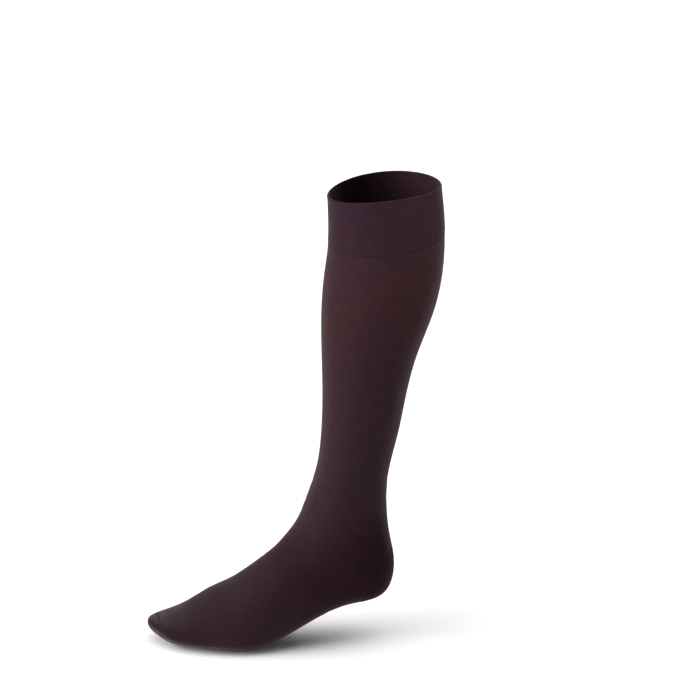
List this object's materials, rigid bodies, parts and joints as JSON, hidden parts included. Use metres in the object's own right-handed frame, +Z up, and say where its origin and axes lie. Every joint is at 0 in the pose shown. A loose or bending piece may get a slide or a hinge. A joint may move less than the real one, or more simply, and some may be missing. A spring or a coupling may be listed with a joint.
{
  "type": "compression stocking",
  "caption": "Knee-high compression stocking, hollow as worn, with a doubled top band, a shaped heel pocket and a closed toe cap",
  "frame": {"origin": "centre of the top opening, in the plane of the band's top edge, where the wearer's leg passes through it", "axes": "+Z up along the leg, -X the way the toes point, +Y the inner side of the leg of this left stocking"},
  "size_m": [0.2901, 0.112, 0.4619],
  "materials": {
    "band_knit": "doubled elastic knit of nylon and elastane, soft matte, dark brown-plum",
    "leg_knit": "fine circular knit of nylon microfibre and elastane, soft satin, dark brown",
    "heel_knit": "denser knit of nylon microfibre and elastane, matte, dark brown",
    "foot_knit": "fine circular knit of nylon microfibre and elastane, soft satin, dark brown",
    "toe_knit": "denser knit of nylon microfibre and elastane, matte, dark brown"
  },
  "bodies": {
    "root": {"top_band": "band_knit", "leg": "leg_knit", "heel_pocket": "heel_knit", "foot": "foot_knit", "toe_cap": "toe_knit"}
  },
  "joints": []
}
